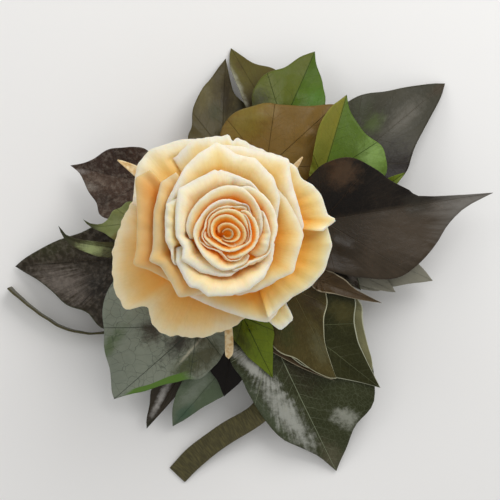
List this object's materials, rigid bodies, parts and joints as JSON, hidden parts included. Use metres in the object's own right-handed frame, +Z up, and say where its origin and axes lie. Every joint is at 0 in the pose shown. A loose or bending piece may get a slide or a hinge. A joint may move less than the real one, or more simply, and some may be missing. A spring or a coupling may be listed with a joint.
{
  "type": "preserved rose bouquet",
  "caption": "Preserved cream rose head ringed by folded dark ivy leaves, their stalks gathered round a bound hub on a small backing disc with flat band tails.",
  "frame": {"origin": "on the surface that the bouquet lies on, in the middle of its footprint", "axes": "+Z up, the way the rose faces; +X along the bouquet's long side, towards the large folded leaf; +Y away from the tails"},
  "size_m": [0.1344, 0.1214, 0.0571],
  "materials": {
    "cream_petal": "dry matt petal, cream at the rims and deep amber inside",
    "ivy_leaf": "glycerined leaf with a soft sheen and pale veins",
    "sepal": "dry matt sepal",
    "olive_band": "matt dark olive floral band"
  },
  "bodies": {
    "root": {"backing_disc": "olive_band", "band_tail_left": "olive_band", "band_tail_lower": "olive_band", "calyx": "sepal", "ivy_leaf_bottom_black": "ivy_leaf", "ivy_leaf_bottom_right": "ivy_leaf", "ivy_leaf_bottom_spike": "ivy_leaf", "ivy_leaf_bottom_teal": "ivy_leaf", "ivy_leaf_far_left": "ivy_leaf", "ivy_leaf_left_green": "ivy_leaf", "ivy_leaf_left_sickle": "ivy_leaf", "ivy_leaf_lower_brown": "ivy_leaf", "ivy_leaf_lower_dark": "ivy_leaf", "ivy_leaf_lower_green": "ivy_leaf", "ivy_leaf_lower_left": "ivy_leaf", "ivy_leaf_lower_olive": "ivy_leaf", "ivy_leaf_right_back": "ivy_leaf", "ivy_leaf_right_curl": "ivy_leaf", "ivy_leaf_right_edge": "ivy_leaf", "ivy_leaf_right_large": "ivy_leaf", "ivy_leaf_right_narrow": "ivy_leaf", "ivy_leaf_right_sliver": "ivy_leaf", "ivy_leaf_right_under": "ivy_leaf", "ivy_leaf_top_back": "ivy_leaf", "ivy_leaf_top_green": "ivy_leaf", "ivy_leaf_top_left": "ivy_leaf", "ivy_leaf_top_olive": "ivy_leaf", "ivy_leaf_top_right": "ivy_leaf", "ivy_leaf_upper_left": "ivy_leaf", "ivy_leaf_upper_right": "ivy_leaf", "rose_petal_01": "cream_petal", "rose_petal_02": "cream_petal", "rose_petal_03": "cream_petal", "rose_petal_04": "cream_petal", "rose_petal_05": "cream_petal", "rose_petal_06": "cream_petal", "rose_petal_07": "cream_petal", "rose_petal_08": "cream_petal", "rose_petal_09": "cream_petal", "rose_petal_10": "cream_petal", "rose_petal_11": "cream_petal", "rose_petal_12": "cream_petal", "rose_petal_13": "cream_petal", "rose_petal_14": "cream_petal", "rose_petal_15": "cream_petal", "rose_petal_16": "cream_petal", "rose_petal_17": "cream_petal", "rose_petal_18": "cream_petal", "rose_petal_19": "cream_petal", "rose_petal_20": "cream_petal", "rose_petal_21": "cream_petal", "rose_petal_22": "cream_petal", "rose_petal_23": "cream_petal", "rose_petal_24": "cream_petal", "rose_petal_25": "cream_petal", "rose_petal_26": "cream_petal", "rose_petal_27": "cream_petal", "rose_petal_28": "cream_petal", "rose_petal_29": "cream_petal", "stem_binding": "olive_band"}
  },
  "joints": []
}
